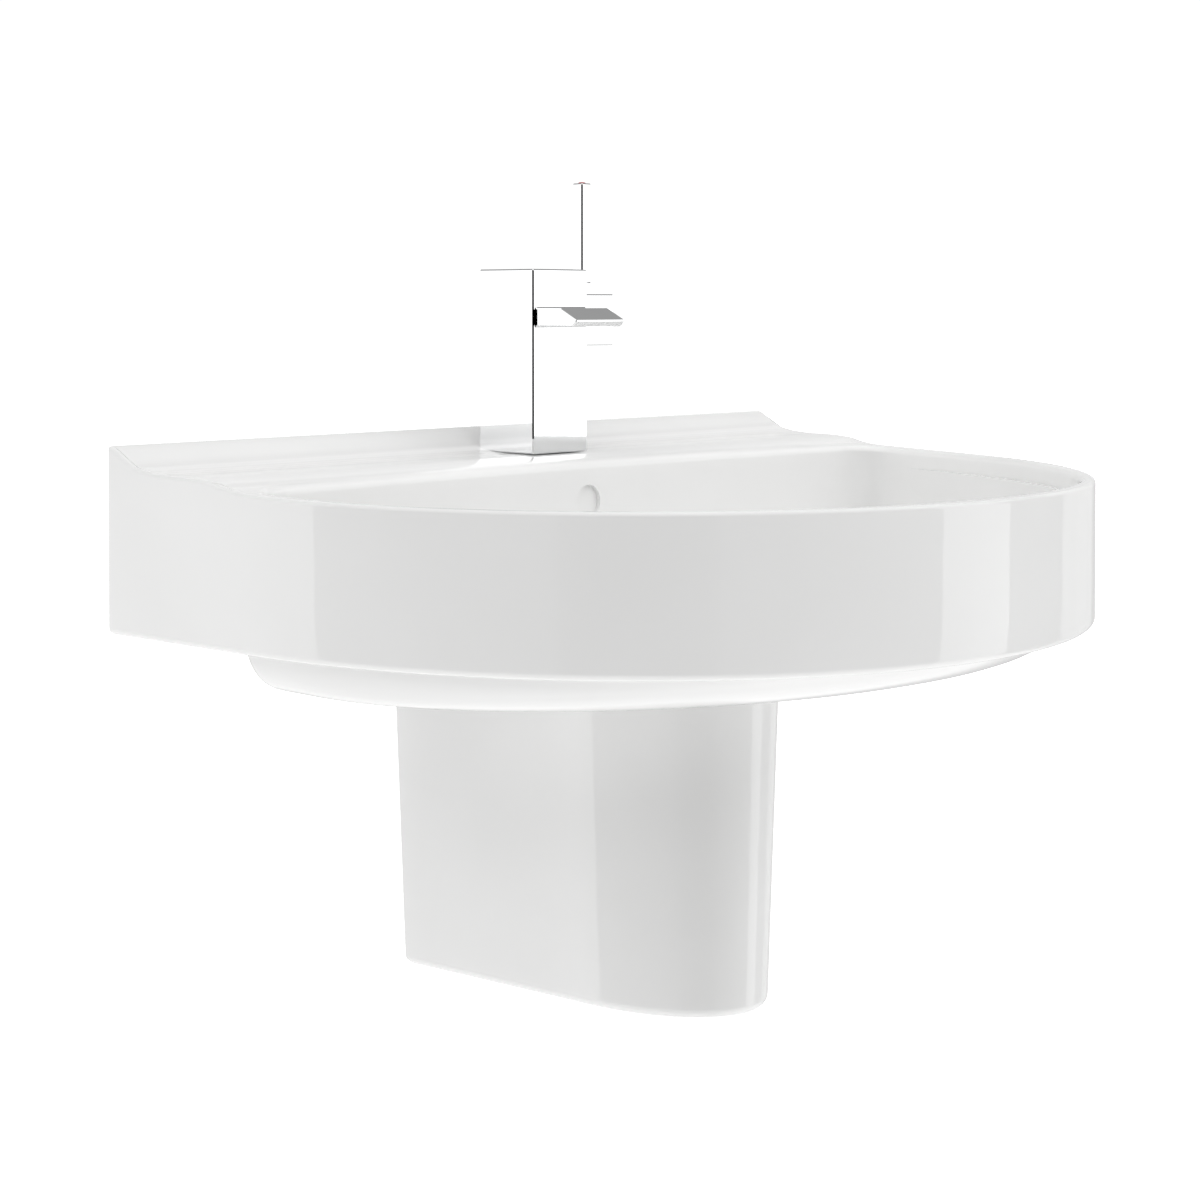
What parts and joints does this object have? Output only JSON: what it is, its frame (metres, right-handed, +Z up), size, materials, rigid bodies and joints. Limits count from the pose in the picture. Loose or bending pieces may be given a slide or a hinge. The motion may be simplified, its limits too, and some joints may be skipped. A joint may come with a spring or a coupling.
{
  "type": "wall-hung washbasin",
  "caption": "Wall-hung washbasin with a round front and open bowl, on a semi-pedestal, with a square single-lever mixer.",
  "frame": {"origin": "on the wall plane at the back of the basin, on the centre line, midway between the two fixing studs", "axes": "+Z up, +Y into the wall, +X to the right as the user faces the basin; the user stands at -Y"},
  "size_m": [0.6, 0.4968, 0.5223],
  "materials": {
    "ceramic": "gloss white glaze",
    "chrome": "polished",
    "brass": "plain turned",
    "steel": "zinc plated",
    "rubber": "matte black",
    "plastic": "white moulded",
    "red": "red translucent cap"
  },
  "bodies": {
    "root": {"aerator": "plastic", "basin": "ceramic", "basin_bush_left": "plastic", "basin_bush_right": "plastic", "basin_nut_left": "steel", "basin_nut_right": "steel", "basin_stud_left": "steel", "basin_stud_right": "steel", "basin_washer_left": "steel", "basin_washer_right": "steel", "cartridge_body": "plastic", "cartridge_ring": "chrome", "click_mechanism": "plastic", "inlet_nipple_cold": "brass", "inlet_nipple_hot": "brass", "lever_housing": "chrome", "outlet_pipe": "chrome", "pedestal_bush_left": "plastic", "pedestal_bush_right": "plastic", "pedestal_nut_left": "steel", "pedestal_nut_right": "steel", "pedestal_stud_left": "steel", "pedestal_stud_right": "steel", "pedestal_washer_left": "steel", "pedestal_washer_right": "steel", "semi_pedestal": "ceramic", "tap_base_seal": "rubber", "tap_body": "chrome", "tap_clamp_gasket": "rubber", "tap_clamp_plate": "steel", "tap_nut": "brass", "tap_stud": "steel", "trap_body": "chrome", "trap_cup": "chrome", "trap_cup_seal": "rubber", "trap_dip_tube": "chrome", "trap_inlet_nut": "chrome", "trap_inlet_washer": "rubber", "trap_outlet_nut": "chrome", "trap_outlet_seal": "rubber", "trap_top_nut": "chrome", "trap_top_seal": "rubber", "wall_rose": "chrome", "waste_back_nut": "brass", "waste_body": "chrome", "waste_seal_lower": "rubber", "waste_seal_upper": "rubber", "waste_washer": "plastic"},
    "cartridge_carrier": {"cartridge_carrier": "plastic"},
    "lever": {"lever_stem": "chrome", "lever_bar": "chrome", "lever_grub_screw": "steel", "lever_indicator": "red"},
    "plug": {"plug_cap": "chrome", "plug_seal": "rubber", "plug_stem": "brass"}
  },
  "joints": [
    {"name": "lever_swivel", "type": "hinge", "parent": "root", "child": "cartridge_carrier", "pos_m": [0.0466, -0.054, 0.141], "axis": [0, 0, 1], "range_deg": [-50, 50]},
    {"name": "lever_tilt", "type": "hinge", "parent": "cartridge_carrier", "child": "lever", "pos_m": [0.0466, -0.054, 0.141], "axis": [1, 0, 0], "range_deg": [0, 20]},
    {"name": "plug_lift", "type": "slide", "parent": "root", "child": "plug", "axis": [0, 0, 1], "range_m": [0, 0.008]}
  ]
}
